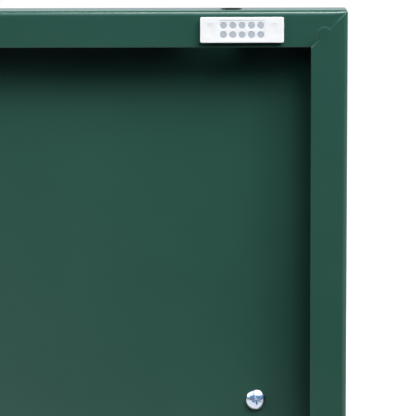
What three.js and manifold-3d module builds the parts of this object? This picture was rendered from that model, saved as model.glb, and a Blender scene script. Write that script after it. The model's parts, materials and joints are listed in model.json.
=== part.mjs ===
// Wall mailbox of folded sheet steel, with a lifting letter lid on top and a front door on two
// butt hinges. Millimetres. The wall is the plane y = 0, the mailbox stands out of it along -Y,
// +Z is up, and the origin is on the rear face of the back panel. The door is shown open, turned
// 180 degrees on its hinges, so that its inner face looks forward beside the body.
import * as THREE from 'three';
import { mergeVertices } from 'three/addons/utils/BufferGeometryUtils.js';
import Module from 'manifold-3d';

const wasm = await Module();
wasm.setup();

// Sheet metal
const SHEET = 1.2;
const BEND_RADIUS = 1.8;
const GAP = 0.3;
const MITRE_SLOT = 0.3;

// Body
const BODY_WIDTH = 300;
const BODY_DEPTH = 105;
const BODY_BOTTOM = -204;
const BACK_TOP = 199;
const FRONT_FLANGE = 16;
const REAR_FLANGE = 12;
const HEM_HEIGHT = 20;
const HEM_THICKNESS = 1.8;
const DRAIN_RADIUS = 3;
const DRAIN_OUT = 100;
const DRAIN_DEPTHS = [-75, -35];

// Fixing holes in the back panel
const FIXING_OUT = 100;
const KEYHOLE_Z = 150;
const KEYHOLE_RADIUS = 5;
const KEYHOLE_SLOT_HALF = 2.6;
const KEYHOLE_RISE = 9;
const LOWER_HOLE_Z = -165;
const LOWER_HOLE_RADIUS = 3;

// Door
const DOOR_WIDTH = 300;
const DOOR_HEIGHT = 380;
const DOOR_DEPTH = 16;
const DOOR_FLANGE = 17.5;
const DOOR_BEND_RADIUS = 2.4;
const DOOR_BOTTOM = -202;
const DOOR_GAP = 3.5;
const EDGE_HOLE_RADIUS = 5;
const EDGE_HOLE_INSET = 55.2;
const CORNER_TAB_SIZE = 14;
const CORNER_TAB_THICKNESS = 1;

// Butt hinges
const HINGE_HEIGHT = 60;
const HINGE_SPACING = 260;
const HINGE_CENTRE_OUT = 3;
const KNUCKLE_RADIUS = 2.8;
const KNUCKLE_BORE = 1.65;
const HINGE_PIN_RADIUS = 1.4;
const DOOR_KNUCKLE_HEIGHT = 19.6;
const KNUCKLE_CLEARANCE = 0.4;
const BODY_LEAF_WIDTH = 18.5;
const DOOR_LEAF_WIDTH = 14.5;
const RIVET_PITCH = 20;
const RIVET_SHANK = 1.3;
const RIVET_HEAD = 2.5;
const RIVET_HEAD_HEIGHT = 0.8;
const RIVET_HOLE = 1.6;
const RIVET_FROM_AXIS = 9.5;

// Lid
const LID_SLOPE = THREE.MathUtils.degToRad(6);
const LID_LENGTH = 122.7;
const LID_SIDE_GAP = 1;
const LID_SKIRT = 12;
const LID_AXIS_Y = -6;
const LID_AXIS_Z = 202;
const LID_CORNER_CUT = -8;
const LID_KNUCKLE_RADIUS = 2.6;
const LID_KNUCKLE_BORE = 1.45;
const LID_PIN_RADIUS = 1.2;
const LID_HINGE_LENGTH = 270;
const LID_KNUCKLES = 5;
const LID_LEAF_THICKNESS = 1;
const WALL_LEAF_WIDTH = 22;
const LID_LEAF_WIDTH = 20;

// Rail over the front opening
const RAIL_BOTTOM = 158;
const RAIL_TOP = 192;
const RAIL_DEPTH = 14;

// Magnetic catch
const CATCH_LENGTH = 39.6;
const CATCH_HEIGHT = 12.2;
const CATCH_THICKNESS = 1.1;
const CATCH_CORNER = 0.8;
const CATCH_FROM_EDGE = 50.2;
const CATCH_FROM_TOP = 9.1;
const PAD_THICKNESS = 0.25;
const MAGNET_RADIUS = 1.5;
const MAGNET_THICKNESS = 0.45;
const MAGNET_POCKET = 1.6;
const MAGNET_PITCH = 4.42;
const MAGNET_COLUMNS = 5;
const MAGNET_ROWS = 2;
const POCKET_DEPTH = 0.75;

// Knob and its screw
const KNOB_FROM_EDGE = 43.3;
const KNOB_FROM_BOTTOM = 188.6;
const KNOB_RADIUS = 13;
const KNOB_HEIGHT = 22;
const KNOB_BORE = 2.8;
const KNOB_BORE_DEPTH = 13;
const SCREW_SHANK = 2.5;
const SCREW_HEAD = 5;
const SCREW_HEAD_HEIGHT = 2.4;
const SCREW_RECESS_DEPTH = 1.5;
const SCREW_LENGTH = 12;

// Bumpers
const DOOR_BUMPER_RADIUS = 4.5;
const DOOR_BUMPER_HEIGHT = 2.8;
const LID_BUMPER_RADIUS = 4;
const LID_BUMPER_HEIGHT = 2.1;
const LID_BUMPER_OUT = 115;
const DOOR_BUMPER_HEIGHTS = { upper: 120, lower: -150 };

// Materials
const GREEN_COAT = { color: 0x2f5a4d, roughness: 0.42, metalness: 0.1 };
const WHITE_PLASTIC = { color: 0xeef1f4, roughness: 0.45, metalness: 0 };
const MAGNET_STEEL = { color: 0xb4bcc8, roughness: 0.35, metalness: 0.8 };
const ZINC = { color: 0xc3ccd6, roughness: 0.28, metalness: 0.95 };
const NICKEL = { color: 0xb9b7b0, roughness: 0.3, metalness: 1 };
const RUBBER = { color: 0x1b1c1d, roughness: 0.85, metalness: 0 };
const FOAM = { color: 0xd9dadb, roughness: 0.9, metalness: 0 };

const HALF_WIDTH = BODY_WIDTH / 2;
const DOOR_LEFT = HALF_WIDTH + 2 * HINGE_CENTRE_OUT;
const HINGE_X = HALF_WIDTH + HINGE_CENTRE_OUT;
const HINGE_Y = -BODY_DEPTH - DOOR_GAP / 2;
const HINGE_HEIGHTS = {
  upper: DOOR_BOTTOM + DOOR_HEIGHT / 2 + HINGE_SPACING / 2,
  lower: DOOR_BOTTOM + DOOR_HEIGHT / 2 - HINGE_SPACING / 2,
};

// ---- solids ----

// A closed three.js geometry as a solid that can be joined and cut.
function toSolid(geometry) {
  const bare = geometry.clone();
  bare.deleteAttribute('normal');
  bare.deleteAttribute('uv');
  const merged = mergeVertices(bare, 1e-4);
  return new wasm.Manifold(new wasm.Mesh({
    numProp: 3,
    vertProperties: new Float32Array(merged.attributes.position.array),
    triVerts: new Uint32Array(merged.index.array),
  }));
}

function toGeometry(solid) {
  const mesh = solid.getMesh();
  const geometry = new THREE.BufferGeometry();
  const stride = mesh.numProp;
  const count = mesh.vertProperties.length / stride;
  const points = new Float32Array(count * 3);
  for (let i = 0; i < count; i += 1) {
    points.set(mesh.vertProperties.subarray(i * stride, i * stride + 3), i * 3);
  }
  geometry.setAttribute('position', new THREE.BufferAttribute(points, 3));
  geometry.setIndex(new THREE.BufferAttribute(new Uint32Array(mesh.triVerts), 1));
  geometry.computeVertexNormals();
  return geometry;
}

// A box between two corners.
function block(x0, x1, y0, y1, z0, z1) {
  const geometry = new THREE.BoxGeometry(x1 - x0, y1 - y0, z1 - z0);
  geometry.translate((x0 + x1) / 2, (y0 + y1) / 2, (z0 + z1) / 2);
  return toSolid(geometry);
}

// A round bar between two points on a line parallel to X, Y or Z.
function bar(axis, radius, from, to, centre, segments = 16) {
  const geometry = new THREE.CylinderGeometry(radius, radius, to - from, segments);
  if (axis === 'x') geometry.rotateZ(-Math.PI / 2);
  if (axis === 'z') geometry.rotateX(Math.PI / 2);
  const along = (from + to) / 2;
  const place = { x: [along, ...centre], y: [centre[0], along, centre[1]], z: [...centre, along] };
  geometry.translate(...place[axis]);
  return toSolid(geometry);
}

function roundedRectangle(u0, u1, v0, v1, radius) {
  const shape = new THREE.Shape();
  shape.moveTo(u0 + radius, v0);
  shape.lineTo(u1 - radius, v0);
  shape.absarc(u1 - radius, v0 + radius, radius, -Math.PI / 2, 0, false);
  shape.lineTo(u1, v1 - radius);
  shape.absarc(u1 - radius, v1 - radius, radius, 0, Math.PI / 2, false);
  shape.lineTo(u0 + radius, v1);
  shape.absarc(u0 + radius, v1 - radius, radius, Math.PI / 2, Math.PI, false);
  shape.lineTo(u0, v0 + radius);
  shape.absarc(u0 + radius, v0 + radius, radius, Math.PI, 1.5 * Math.PI, false);
  return shape;
}

// A shape swept straight along one axis. The shape's own axes are the other two, in X, Y, Z order.
function sweep(shape, axis, from, to, curveSegments = 4) {
  const geometry = new THREE.ExtrudeGeometry(shape, {
    depth: to - from, bevelEnabled: false, curveSegments,
  });
  geometry.translate(0, 0, from);
  const turned = {
    x: new THREE.Matrix4().set(0, 0, 1, 0, 1, 0, 0, 0, 0, 1, 0, 0, 0, 0, 0, 1),
    y: new THREE.Matrix4().set(1, 0, 0, 0, 0, 0, -1, 0, 0, 1, 0, 0, 0, 0, 0, 1),
    z: new THREE.Matrix4(),
  };
  if (axis === 'y') geometry.translate(0, 0, -from - to);
  geometry.applyMatrix4(turned[axis]);
  return toSolid(geometry);
}

// A folded block: its bends run along both edges of the face that looks along the depth axis,
// and they meet in sharp corners, as the sheets of a folded pan do.
function foldedBlock(low, high, radius, depthAxis) {
  const [x0, y0, z0] = low;
  const [x1, y1, z1] = high;
  const along = sweep(roundedRectangle(y0, y1, z0, z1, radius), 'x', x0, x1);
  const across = depthAxis === 'y'
    ? sweep(roundedRectangle(x0, x1, y0, y1, radius), 'z', z0, z1)
    : sweep(roundedRectangle(x0, x1, z0, z1, radius), 'y', y0, y1);
  return along.intersect(across);
}

function lathe(points, segments) {
  return new THREE.LatheGeometry(points.map(([r, h]) => new THREE.Vector2(r, h)), segments);
}

function material(look) {
  return new THREE.MeshStandardMaterial(look);
}

function piece(parent, name, shape, look) {
  const geometry = shape.isBufferGeometry ? shape : toGeometry(shape);
  const mesh = new THREE.Mesh(geometry, material(look));
  mesh.name = name;
  parent.add(mesh);
  return mesh;
}

// A thin cut along the 45 degree mitre of a flange corner, from the inner corner outwards.
function mitreCut(cornerX, cornerZ, towardsX, towardsZ, flange, flangeFace) {
  const reach = (flange - 1) * Math.SQRT2;
  const geometry = new THREE.BoxGeometry(reach, SHEET * 3, MITRE_SLOT);
  geometry.rotateY(towardsX * towardsZ > 0 ? -Math.PI / 4 : Math.PI / 4);
  const middle = (flange + 1.2) / 2;
  geometry.translate(cornerX + towardsX * middle, flangeFace, cornerZ + towardsZ * middle);
  return toSolid(geometry);
}

// A square tab behind a mitre, spot-welded to both flanges.
function cornerTab(cornerX, cornerZ, towardsX, towardsZ, flangeFace) {
  const near = SHEET + 2 * GAP;
  const far = near + CORNER_TAB_SIZE;
  const xs = [cornerX + towardsX * near, cornerX + towardsX * far].sort((a, b) => a - b);
  const zs = [cornerZ + towardsZ * near, cornerZ + towardsZ * far].sort((a, b) => a - b);
  const front = flangeFace + SHEET + GAP;
  return block(xs[0], xs[1], front, front + CORNER_TAB_THICKNESS, zs[0], zs[1]);
}

// ---- body ----

// The height of the lid's underside over a point at depth y.
function lidUnderside(y) {
  const offset = LID_KNUCKLE_RADIUS + GAP;
  return LID_AXIS_Z + offset / Math.cos(LID_SLOPE) + (y - LID_AXIS_Y) * Math.tan(LID_SLOPE);
}

// Everything above the sloping top edges of the side walls.
function aboveSlope() {
  const clearance = 0.6;
  const rear = 20;
  const front = -BODY_DEPTH - 20;
  const shape = new THREE.Shape();
  shape.moveTo(front, lidUnderside(front) - clearance);
  shape.lineTo(rear, lidUnderside(rear) - clearance);
  shape.lineTo(rear, 300);
  shape.lineTo(front, 300);
  return sweep(shape, 'x', -BODY_WIDTH, BODY_WIDTH);
}

function bodyShell() {
  const rear = -SHEET - GAP;
  const high = 260;
  const inner = HALF_WIDTH - SHEET;
  let shell = foldedBlock(
    [-HALF_WIDTH, -BODY_DEPTH, BODY_BOTTOM], [HALF_WIDTH, rear, high], BEND_RADIUS, 'y');
  shell = shell.subtract(foldedBlock(
    [-inner, -BODY_DEPTH + SHEET, BODY_BOTTOM + SHEET], [inner, rear - SHEET, high + SHEET],
    BEND_RADIUS - SHEET, 'y'));
  const frontOpening = HALF_WIDTH - FRONT_FLANGE;
  const rearOpening = HALF_WIDTH - REAR_FLANGE;
  const frontCut = [-BODY_DEPTH - 1, -BODY_DEPTH + SHEET + 1];
  const rearCut = [rear - SHEET - 1, rear + 1];
  shell = shell.subtract(block(
    -frontOpening, frontOpening, ...frontCut, BODY_BOTTOM + FRONT_FLANGE, high));
  shell = shell.subtract(block(
    -rearOpening, rearOpening, ...rearCut, BODY_BOTTOM + REAR_FLANGE, high));
  shell = shell.subtract(block(-inner, inner, ...frontCut, RAIL_BOTTOM - GAP, high));
  shell = shell.subtract(block(-inner, inner, ...rearCut, BACK_TOP, high));
  shell = shell.subtract(aboveSlope());
  shell = shell.subtract(block(-HALF_WIDTH - 1, HALF_WIDTH + 1, LID_CORNER_CUT, 1, BACK_TOP, high));
  for (const side of [-1, 1]) {
    shell = shell.subtract(mitreCut(
      side * HALF_WIDTH, BODY_BOTTOM, -side, 1, FRONT_FLANGE, -BODY_DEPTH));
    for (const y of DRAIN_DEPTHS) {
      shell = shell.subtract(bar(
        'z', DRAIN_RADIUS, BODY_BOTTOM - 1, BODY_BOTTOM + 3, [side * DRAIN_OUT, y]));
    }
  }
  for (const z of hingeRivetHeights()) {
    shell = shell.subtract(bar(
      'x', RIVET_HOLE, inner - 1, HALF_WIDTH + 1, [HINGE_Y + RIVET_FROM_AXIS, z], 12));
  }
  return shell;
}

// A round hole with a slot above it, for hanging on a screw.
function keyhole(x, z) {
  const half = KEYHOLE_SLOT_HALF;
  const top = z + KEYHOLE_RISE;
  const slot = block(x - half, x + half, -5, 5, z, top);
  return bar('y', KEYHOLE_RADIUS, -5, 5, [x, z]).add(slot).add(bar('y', half, -5, 5, [x, top]));
}

function backPanel() {
  let panel = block(-HALF_WIDTH, HALF_WIDTH, -SHEET, 0, BODY_BOTTOM, BACK_TOP);
  const hemHalf = HALF_WIDTH - REAR_FLANGE - 0.5;
  panel = panel.add(block(
    -hemHalf, hemHalf, -SHEET - HEM_THICKNESS, -SHEET + 0.1, BACK_TOP - HEM_HEIGHT, BACK_TOP));
  for (const side of [-1, 1]) {
    panel = panel.subtract(keyhole(side * FIXING_OUT, KEYHOLE_Z));
    panel = panel.subtract(bar('y', LOWER_HOLE_RADIUS, -5, 5, [side * FIXING_OUT, LOWER_HOLE_Z]));
  }
  return panel;
}

// A channel across the top of the front opening, with its ends turned back against the sides.
function topFrontRail() {
  const half = HALF_WIDTH - SHEET - GAP;
  const rear = -BODY_DEPTH + RAIL_DEPTH;
  const outer = foldedBlock(
    [-half, -BODY_DEPTH, RAIL_BOTTOM], [half, rear + 10, RAIL_TOP], BEND_RADIUS, 'y');
  const inner = foldedBlock(
    [-half + SHEET, -BODY_DEPTH + SHEET, RAIL_BOTTOM + SHEET],
    [half - SHEET, rear + 20, RAIL_TOP - SHEET], BEND_RADIUS - SHEET, 'y');
  return outer.subtract(inner).subtract(block(-200, 200, rear, 0, 0, 300));
}

// ---- butt hinges ----

function hingeRivetHeights() {
  const heights = [];
  for (const centre of Object.values(HINGE_HEIGHTS)) {
    for (const step of [-1, 0, 1]) heights.push(centre + step * RIVET_PITCH);
  }
  return heights;
}

// The bands of the hinge's height that the door's and the body's knuckles take.
function knuckleBands(owner) {
  const half = HINGE_HEIGHT / 2;
  const doorHalf = DOOR_KNUCKLE_HEIGHT / 2;
  if (owner === 'door') return [[-doorHalf, doorHalf]];
  return [[-half, -doorHalf - KNUCKLE_CLEARANCE], [doorHalf + KNUCKLE_CLEARANCE, half]];
}

// A leaf with its knuckles about the local Z axis. side is -1 for the body and 1 for the door.
function buttLeaf(owner, side, width) {
  const half = HINGE_HEIGHT / 2;
  const outer = side * (HINGE_CENTRE_OUT - GAP);
  const inner = side * (HINGE_CENTRE_OUT - GAP - SHEET);
  const other = owner === 'door' ? 'body' : 'door';
  let leaf = block(Math.min(outer, inner), Math.max(outer, inner), 0, width, -half, half);
  for (const [low, high] of knuckleBands(other)) {
    leaf = leaf.subtract(bar(
      'z', KNUCKLE_RADIUS + KNUCKLE_CLEARANCE, low - KNUCKLE_CLEARANCE, high + KNUCKLE_CLEARANCE,
      [0, 0]));
  }
  for (const [low, high] of knuckleBands(owner)) {
    leaf = leaf.add(bar('z', KNUCKLE_RADIUS, low, high, [0, 0]));
  }
  leaf = leaf.subtract(bar('z', KNUCKLE_BORE, -half - 1, half + 1, [0, 0]));
  for (const step of [-1, 0, 1]) {
    const hole = [RIVET_FROM_AXIS, step * RIVET_PITCH];
    leaf = leaf.subtract(bar(
      'x', RIVET_HOLE, Math.min(outer, inner) - 1, Math.max(outer, inner) + 1, hole, 12));
  }
  return leaf;
}

// A pin along Z with a low cap at each end.
function hingePin() {
  const half = HINGE_HEIGHT / 2 + 0.3;
  return lathe([
    [0, -half - 1.2], [1.6, -half - 1.2], [2.6, -half - 0.5], [2.6, -half], [HINGE_PIN_RADIUS, -half],
    [HINGE_PIN_RADIUS, half], [2.6, half], [2.6, half + 0.5], [1.6, half + 1.2], [0, half + 1.2],
  ], 16).rotateX(Math.PI / 2);
}

// A rivet along X through a leaf and a sheet, with its heads on the outer faces.
function leafRivet(leafSide) {
  const grip = GAP + 2 * SHEET;
  const start = -RIVET_HEAD_HEIGHT;
  const end = grip + RIVET_HEAD_HEIGHT;
  const rivet = lathe([
    [0, start], [1.4, start], [RIVET_HEAD, -0.3], [RIVET_HEAD, 0], [RIVET_SHANK, 0],
    [RIVET_SHANK, grip], [RIVET_HEAD - 0.3, grip], [RIVET_HEAD - 0.3, end - 0.4],
    [1.3, end], [0, end],
  ], 12);
  return rivet.rotateZ(leafSide > 0 ? -Math.PI / 2 : Math.PI / 2);
}

function addButtHinges(body, door) {
  for (const [level, height] of Object.entries(HINGE_HEIGHTS)) {
    const place = (mesh) => mesh.position.set(HINGE_X, HINGE_Y, height);
    place(piece(body, `${level}_hinge_body_leaf`, buttLeaf('body', -1, BODY_LEAF_WIDTH), ZINC));
    place(piece(body, `${level}_hinge_pin`, hingePin(), ZINC));
    place(piece(door, `${level}_hinge_door_leaf`, buttLeaf('door', 1, DOOR_LEAF_WIDTH), ZINC));
    for (const step of [-1, 0, 1]) {
      const z = height + step * RIVET_PITCH;
      const y = HINGE_Y + RIVET_FROM_AXIS;
      const leafFace = HINGE_CENTRE_OUT - GAP - SHEET;
      const number = step + 2;
      piece(body, `${level}_body_rivet_${number}`, leafRivet(-1), ZINC)
        .position.set(HINGE_X - leafFace, y, z);
      piece(door, `${level}_door_rivet_${number}`, leafRivet(1), ZINC)
        .position.set(HINGE_X + leafFace, y, z);
    }
  }
}

// ---- lid ----

function lidKnuckleBands(owner) {
  const start = -LID_HINGE_LENGTH / 2;
  const step = LID_HINGE_LENGTH / LID_KNUCKLES;
  const bands = [];
  for (let i = owner === 'wall' ? 0 : 1; i < LID_KNUCKLES; i += 2) {
    const trimLow = i === 0 ? 0 : KNUCKLE_CLEARANCE / 2;
    const trimHigh = i === LID_KNUCKLES - 1 ? 0 : KNUCKLE_CLEARANCE / 2;
    bands.push([start + i * step + trimLow, start + (i + 1) * step - trimHigh]);
  }
  return bands;
}

// A leaf of the lid's piano hinge about the local X axis: the wall's hangs down behind the axis,
// and the lid's runs forward above it.
function pianoLeaf(owner) {
  const half = LID_HINGE_LENGTH / 2;
  const face = LID_KNUCKLE_RADIUS;
  const back = LID_KNUCKLE_RADIUS - LID_LEAF_THICKNESS;
  const other = owner === 'wall' ? 'lid' : 'wall';
  let leaf = owner === 'wall'
    ? block(-half, half, back, face, -WALL_LEAF_WIDTH, 0)
    : block(-half, half, -LID_LEAF_WIDTH, 0, back, face);
  for (const [low, high] of lidKnuckleBands(other)) {
    leaf = leaf.subtract(bar(
      'x', LID_KNUCKLE_RADIUS + KNUCKLE_CLEARANCE, low - KNUCKLE_CLEARANCE,
      high + KNUCKLE_CLEARANCE, [0, 0]));
  }
  for (const [low, high] of lidKnuckleBands(owner)) {
    leaf = leaf.add(bar('x', LID_KNUCKLE_RADIUS, low, high, [0, 0]));
  }
  return leaf.subtract(bar('x', LID_KNUCKLE_BORE, -half - 1, half + 1, [0, 0]));
}

// The lid is a sheet with skirts folded down at the front and the sides.
function lidPanel() {
  const under = LID_KNUCKLE_RADIUS + GAP;
  const halfOut = HALF_WIDTH + LID_SIDE_GAP + SHEET;
  const halfIn = HALF_WIDTH + LID_SIDE_GAP;
  const rear = 1;
  const skirtEnd = under - LID_SKIRT;
  const outer = foldedBlock(
    [-halfOut, -LID_LENGTH, skirtEnd - 10], [halfOut, rear + 10, under + SHEET], BEND_RADIUS, 'z');
  const inner = foldedBlock(
    [-halfIn, -LID_LENGTH + SHEET, skirtEnd - 20], [halfIn, rear + 20, under],
    BEND_RADIUS - SHEET, 'z');
  return outer.subtract(inner)
    .subtract(block(-200, 200, rear, 60, -60, 60))
    .subtract(block(-200, 200, -200, 200, -60, skirtEnd));
}

// ---- door ----

function doorPanel() {
  let pan = foldedBlock(
    [0, 0, 0], [DOOR_WIDTH, DOOR_DEPTH, DOOR_HEIGHT], DOOR_BEND_RADIUS, 'y');
  pan = pan.subtract(foldedBlock(
    [SHEET, SHEET, SHEET], [DOOR_WIDTH - SHEET, DOOR_DEPTH - SHEET, DOOR_HEIGHT - SHEET],
    DOOR_BEND_RADIUS - SHEET, 'y'));
  pan = pan.subtract(block(
    DOOR_FLANGE, DOOR_WIDTH - DOOR_FLANGE, -1, SHEET + 2, DOOR_FLANGE, DOOR_HEIGHT - DOOR_FLANGE));
  for (const [x, z, towardsX, towardsZ] of doorCorners()) {
    pan = pan.subtract(mitreCut(x, z, towardsX, towardsZ, DOOR_FLANGE, 0));
  }
  for (const x of [EDGE_HOLE_INSET, DOOR_WIDTH - EDGE_HOLE_INSET]) {
    pan = pan.subtract(bar(
      'z', EDGE_HOLE_RADIUS, DOOR_HEIGHT - 3, DOOR_HEIGHT + 1, [x, DOOR_DEPTH / 2], 24));
  }
  pan = pan.subtract(bar(
    'y', SCREW_SHANK + GAP, DOOR_DEPTH - 4, DOOR_DEPTH + 1,
    [DOOR_WIDTH - KNOB_FROM_EDGE, KNOB_FROM_BOTTOM]));
  for (const z of hingeRivetHeights()) {
    pan = pan.subtract(bar(
      'x', RIVET_HOLE, -1, SHEET + 1,
      [HINGE_Y + RIVET_FROM_AXIS + BODY_DEPTH, z - DOOR_BOTTOM], 12));
  }
  return pan;
}

function doorCorners() {
  return [
    [0, 0, 1, 1],
    [DOOR_WIDTH, 0, -1, 1],
    [0, DOOR_HEIGHT, 1, -1],
    [DOOR_WIDTH, DOOR_HEIGHT, -1, -1],
  ];
}

// Pan-head screw along +Y, with its head at y < 0 and a cross recess.
function knobScrew() {
  const height = SCREW_HEAD_HEIGHT;
  const body = toSolid(lathe([
    [0, -height], [1.8, -height + 0.2], [3.6, -height + 0.9], [4.6, -height + 1.5],
    [SCREW_HEAD, -height + 2.1], [SCREW_HEAD, 0], [SCREW_SHANK, 0], [SCREW_SHANK, SCREW_LENGTH],
    [0, SCREW_LENGTH],
  ], 20));
  const recessEnd = SCREW_RECESS_DEPTH - height;
  const wide = block(-2.5, 2.5, -height - 1, recessEnd, -0.5, 0.5);
  const tall = block(-0.5, 0.5, -height - 1, recessEnd, -2.5, 2.5);
  return body.subtract(wide.add(tall));
}

// Turned knob along +Y with a blind threaded bore for the screw.
function knob() {
  return lathe([
    [KNOB_BORE, 0], [7, 0], [7, 1.5], [5.2, 3], [4.8, 6], [5.6, 9], [9, 11.5], [12, 13.6],
    [KNOB_RADIUS, 16], [12.3, 18.6], [9.6, 20.6], [5.4, 21.7], [0, KNOB_HEIGHT],
    [0, KNOB_BORE_DEPTH], [KNOB_BORE, KNOB_BORE_DEPTH], [KNOB_BORE, 0],
  ], 28);
}

function magnetPlaces() {
  const places = [];
  for (let row = 0; row < MAGNET_ROWS; row += 1) {
    for (let column = 0; column < MAGNET_COLUMNS; column += 1) {
      places.push([
        (column - (MAGNET_COLUMNS - 1) / 2) * MAGNET_PITCH,
        ((MAGNET_ROWS - 1) / 2 - row) * MAGNET_PITCH,
      ]);
    }
  }
  return places;
}

// The catch's carrier, with its rear face at y = 0 and a round pocket for each magnet in front.
function catchHousing() {
  const halfLength = CATCH_LENGTH / 2;
  const halfHeight = CATCH_HEIGHT / 2;
  let housing = sweep(
    roundedRectangle(-halfLength, halfLength, -halfHeight, halfHeight, CATCH_CORNER),
    'y', -CATCH_THICKNESS, 0);
  for (const [x, z] of magnetPlaces()) {
    housing = housing.subtract(bar(
      'y', MAGNET_POCKET, -CATCH_THICKNESS - 1, -CATCH_THICKNESS + POCKET_DEPTH, [x, z], 14));
  }
  return housing;
}

function addCatch(door) {
  const group = new THREE.Group();
  group.position.set(DOOR_WIDTH - CATCH_FROM_EDGE, 0, DOOR_HEIGHT - CATCH_FROM_TOP);
  door.add(group);
  const padHalfLength = CATCH_LENGTH / 2 - 1;
  const padHalfHeight = CATCH_HEIGHT / 2 - 1;
  const padFront = -GAP / 2 - PAD_THICKNESS;
  piece(group, 'catch_adhesive_pad', block(
    -padHalfLength, padHalfLength, padFront, -GAP / 2, -padHalfHeight, padHalfHeight), FOAM);
  const rear = padFront - GAP / 2;
  piece(group, 'catch_housing', catchHousing(), WHITE_PLASTIC).position.set(0, rear, 0);
  const magnetRear = rear - CATCH_THICKNESS + POCKET_DEPTH - 0.1;
  magnetPlaces().forEach(([x, z], index) => {
    const disc = new THREE.CylinderGeometry(MAGNET_RADIUS, MAGNET_RADIUS, MAGNET_THICKNESS, 14);
    const name = `catch_magnet_${String(index + 1).padStart(2, '0')}`;
    piece(group, name, disc, MAGNET_STEEL)
      .position.set(x, magnetRear - MAGNET_THICKNESS / 2, z);
  });
}

function bumper(radius, height) {
  return lathe([
    [0, 0], [radius, 0], [radius, height * 0.7], [radius * 0.8, height], [0, height],
  ], 20);
}

// ---- assembly ----

const group = new THREE.Group();

const body = new THREE.Group();
group.add(body);
piece(body, 'back_panel', backPanel(), GREEN_COAT);
piece(body, 'body_shell', bodyShell(), GREEN_COAT);
piece(body, 'top_front_rail', topFrontRail(), GREEN_COAT);
for (const [side, name] of [[-1, 'left'], [1, 'right']]) {
  const tab = cornerTab(side * HALF_WIDTH, BODY_BOTTOM, -side, 1, -BODY_DEPTH);
  piece(body, `body_corner_tab_${name}`, tab, GREEN_COAT);
}
const doorBumperX = -HALF_WIDTH + FRONT_FLANGE / 2;
for (const [name, z] of Object.entries(DOOR_BUMPER_HEIGHTS)) {
  const rubber = bumper(DOOR_BUMPER_RADIUS, DOOR_BUMPER_HEIGHT).rotateX(Math.PI);
  piece(body, `door_bumper_${name}`, rubber, RUBBER)
    .position.set(doorBumperX, -BODY_DEPTH - GAP, z);
}
for (const [name, side] of [['left', -1], ['right', 1]]) {
  const rubber = bumper(LID_BUMPER_RADIUS, LID_BUMPER_HEIGHT).rotateX(Math.PI / 2);
  piece(body, `lid_bumper_${name}`, rubber, RUBBER)
    .position.set(side * LID_BUMPER_OUT, -BODY_DEPTH + RAIL_DEPTH / 2, RAIL_TOP + GAP);
}

const lidHinge = new THREE.Group();
lidHinge.position.set(0, LID_AXIS_Y, LID_AXIS_Z);
group.add(lidHinge);
piece(lidHinge, 'lid_hinge_wall_leaf', pianoLeaf('wall'), ZINC);
const lidPinHalf = LID_HINGE_LENGTH / 2 - 0.5;
piece(lidHinge, 'lid_hinge_pin',
  bar('x', LID_PIN_RADIUS, -lidPinHalf, lidPinHalf, [0, 0]), ZINC);
const lid = new THREE.Group();
lid.rotation.x = LID_SLOPE;
lidHinge.add(lid);
piece(lid, 'letter_lid', lidPanel(), GREEN_COAT);
piece(lid, 'lid_hinge_lid_leaf', pianoLeaf('lid'), ZINC);

const door = new THREE.Group();
door.position.set(DOOR_LEFT, -BODY_DEPTH, DOOR_BOTTOM);
group.add(door);
piece(door, 'door_panel', doorPanel(), GREEN_COAT);
const tabNames = ['lower_hinge', 'lower_free', 'upper_hinge', 'upper_free'];
doorCorners().forEach(([x, z, towardsX, towardsZ], index) => {
  const tab = cornerTab(x, z, towardsX, towardsZ, 0);
  piece(door, `door_corner_tab_${tabNames[index]}`, tab, GREEN_COAT);
});
addCatch(door);
const knobX = DOOR_WIDTH - KNOB_FROM_EDGE;
piece(door, 'knob_screw', knobScrew(), ZINC)
  .position.set(knobX, DOOR_DEPTH - SHEET - GAP, KNOB_FROM_BOTTOM);
piece(door, 'door_knob', knob(), NICKEL)
  .position.set(knobX, DOOR_DEPTH + GAP, KNOB_FROM_BOTTOM);

const hinges = new THREE.Group();
group.add(hinges);
addButtHinges(hinges, hinges);

export default group;
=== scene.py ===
"""Looks of the wall mailbox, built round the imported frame.

The pieces are made in millimetres, and keep() scales them to metres. The studio, its lights and
the camera are placed in metres.
"""
import json
import math

import bmesh
import bpy
from mathutils import Matrix, Vector

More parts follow.
